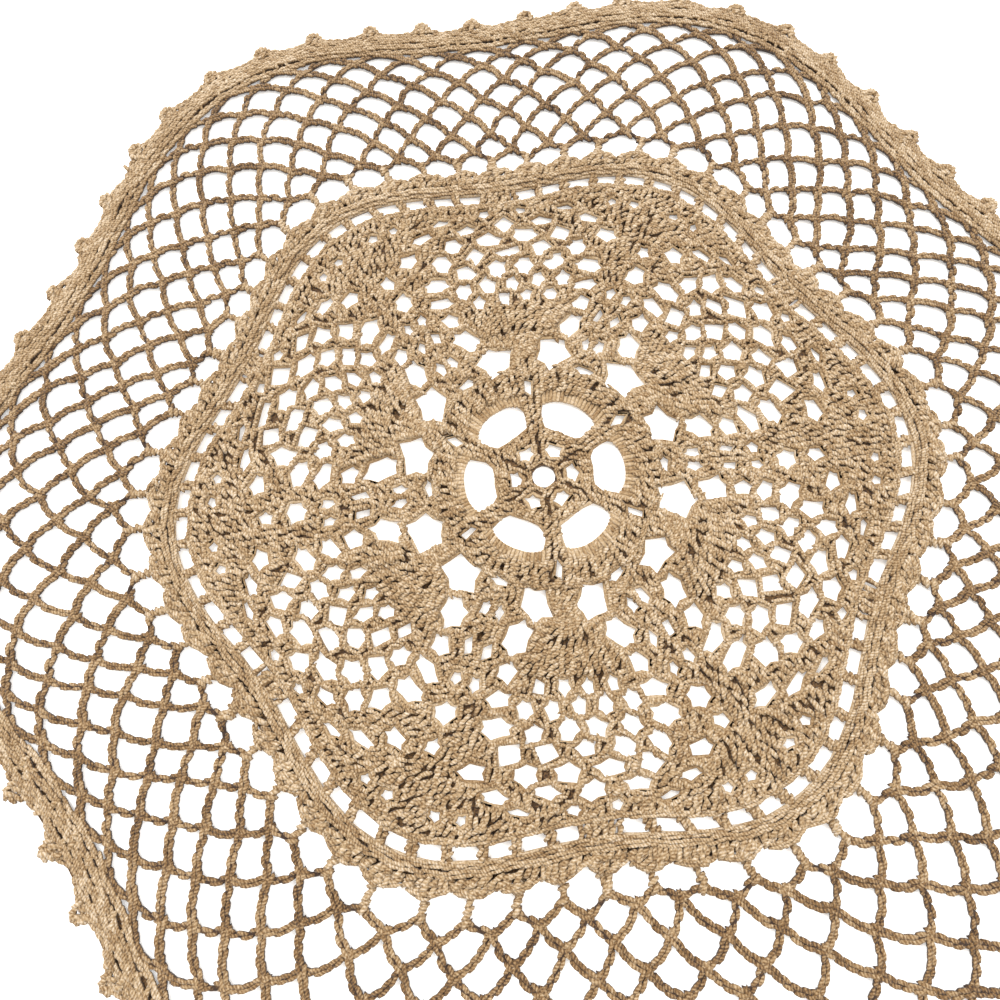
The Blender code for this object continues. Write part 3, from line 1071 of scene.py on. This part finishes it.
def core_tree():
    """Cords along the open chains, and one pierced sheet of thread under the close work, painted dark as
    shade.
    """
    # Crown sets how light the cotton is painted: a middle value for the cords inside the stitches, and a low
    # one that paints the sheet as the shade in the gaps between the stitches.
    graph, ask = new_tree("core", [
        ("Radius", "Float", 0.52 * MM), ("Crown", "Float", 0.5),
        ("Ground height", "Float", 0.95 * MM), ("Ground crown", "Float", 0.36),
        ("Cotton", "Material", None),
    ])
    wide = carried(graph, "wide")
    lines, outlines = split_by(graph, ask["Geometry"], wide)
    upright = graph.add("GeometryNodeSetCurveNormal", {"mode": "Z_UP"}, {0: lines})[0]
    sized = graph.add("GeometryNodeSetCurveRadius", None, {"Curve": upright, "Radius": wide})[0]
    circle = {"Resolution": 6, "Radius": ask["Radius"]}
    profile = graph.add("GeometryNodeCurvePrimitiveCircle", None, circle)[0]
    sweep = {"Curve": sized, "Profile Curve": profile, "Fill Caps": True}
    tube = graph.add("GeometryNodeCurveToMesh", None, sweep)[0]
    tube = marked(graph, tube, "crown", ask["Crown"])
    flat = graph.add("GeometryNodeFillCurve", None, {"Curve": outlines})[0]
    raising = {"Mesh": flat, "Offset Scale": ask["Ground height"], "Individual": False}
    upper = graph.add("GeometryNodeExtrudeMesh", None, raising)[0]
    under = graph.add("GeometryNodeFlipFaces", None, {"Mesh": flat})[0]
    ground = marked(graph, joined(graph, (upper, under)), "crown", ask["Ground crown"])
    return finished(graph, joined(graph, (tube, ground)), ask["Cotton"])


# %% Drawing the lines
LAYER = 0.02  # between crossing cords, so that no two lie in one plane
WRAP_CUT, LINK_CUT = 0.5, 0.9  # how far the last stitch reaches past its point


def shortened(points, cut):
    """The same line, cut back at both ends, so that its last stitches end where the line did."""
    length = sum((b - a).length for a, b in zip(points, points[1:]))
    cut = min(cut, 0.3 * length)
    for _ in range(2):
        points = points[::-1]
        left = cut
        while len(points) > 2 and (points[1] - points[0]).length <= left:
            left -= (points[1] - points[0]).length
            points = points[1:]
        share = min(1, left / (points[1] - points[0]).length)
        points = [points[0].lerp(points[1], share)] + points[1:]
    return points


def drawn(name, paths, outlines=(), raised=0.0):
    """The paths as a mesh of edges, with each path's width and kind kept on its points.

    Paths for stitches lie at their own height and are cut back at their ends. Paths for cords
    are raised to the middle of the cord.
    """
    verts, edges, kept = [], [], {"wide": [], "tall": [], "loose": [], "lone": [], "shade": []}

    def line(points, height, closed, *values):
        first, count = len(verts), len(points)
        verts.extend((p.x * MM, p.y * MM, height * MM) for p in points)
        edges.extend((first + i, first + (i + 1) % count) for i in range(count if closed else count - 1))
        for column, value in zip(kept.values(), values):
            column.extend([value] * count)

    for number, path in enumerate(paths):
        height = path.lift + raised + LAYER * (number % 7)
        points = path.points if raised else shortened(path.points, WRAP_CUT if path.tall else LINK_CUT)
        # A lone chain of the net is painted darker by the cotton, with painted shade on its flanks most.
        lone = path.cored and not path.tall
        line(points, height, False, path.wide, path.tall, path.loose, lone, HAND.random())
    for outline in outlines:
        line(outline, 0, True, 0, False, 0, False, 0.5)
    data = bpy.data.meshes.new(name)
    data.from_pydata(verts, edges, [])
    for label, column in kept.items():
        layer = data.attributes.new(label, "BOOLEAN" if label == "tall" else "FLOAT", "POINT")
        layer.data.foreach_set("value", column)
    lines = bpy.data.objects.new(name, data)
    bpy.context.scene.collection.objects.link(lines)
    return lines


def clothed(lines, tree, values):
    """Runs a graph on an object of lines and leaves its result as the object's plain mesh."""
    modifier = lines.modifiers.new(tree.name, "NODES")
    modifier.node_group = tree
    for item in tree.interface.items_tree:
        if item.name in values and item.in_out == "INPUT":
            modifier[item.identifier] = values[item.name]
    bpy.context.view_layer.update()
    made = bpy.data.meshes.new_from_object(lines.evaluated_get(bpy.context.evaluated_depsgraph_get()))
    lines.modifiers.clear()
    lines.data = made
    made.name = lines.name
    print(f"{lines.name}: {sum(len(p.vertices) - 2 for p in made.polygons)} triangles")
    return lines


# %% Clothing the charts
CORE_RAISED = 0.45  # from a path up to the middle of the cord inside it
GROUND_EDGE = 0.5  # from a hole to the sheet of thread, which ends under the hole's edge cord
BANDS = (  # the lines that bound the sheet under the medallion, the edging and the border
    beside_ladder(-1.9), beside_ladder(1.9), beside_ladder(6.6), beside_rim(-5.3), beside_rim(0.2),
)

crochet, core_graph = crochet_tree(), core_tree()
charts = [rosette, fan, mesh, shells, edging, inner_net, outer_net, border]
values = {"Link": chain_link, "Wrap": tall_wrap, "Cotton": cotton}
pieces = [clothed(drawn(chart.name, chart.paths), crochet, values) for chart in charts]
edge_cords = drawn("edge_cords", [path for chart in charts for path in chart.cords], raised=CORE_RAISED)
# One crown all over paints the edge cords nearly as light as a strand's painted top.
pieces.append(clothed(edge_cords, core_graph, {"Cotton": cotton, "Crown": 0.85}))
corded = [path for chart in charts for path in chart.paths if path.cored]
grounds = [[laid(place(turn, edge(turn))) for turn in range(0, 360, 2)] for edge in BANDS]
grounds.append([place(turn, 2.6) for turn in range(0, 360, 30)])  # the hole in the first ring
grounds += [grown(hole, GROUND_EDGE) for hole in white_holes]
core = clothed(drawn("thread_core", corded, grounds, CORE_RAISED), core_graph, {"Cotton": cotton})

# %% [markdown]
# ## The pieces
# Every piece rides on the one body and is made of the cotton, and the part's plain shape is
# hidden. The core stands for the solid doily, with the stitches lying on it.

# %% Pieces on the body
for piece in [core, *pieces]:
    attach(piece, "root")
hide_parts("doily")

# %% Size
low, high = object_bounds()
print("the dressed doily measures", [round((h - l) / MM, 1) for l, h in zip(low, high)], "mm")
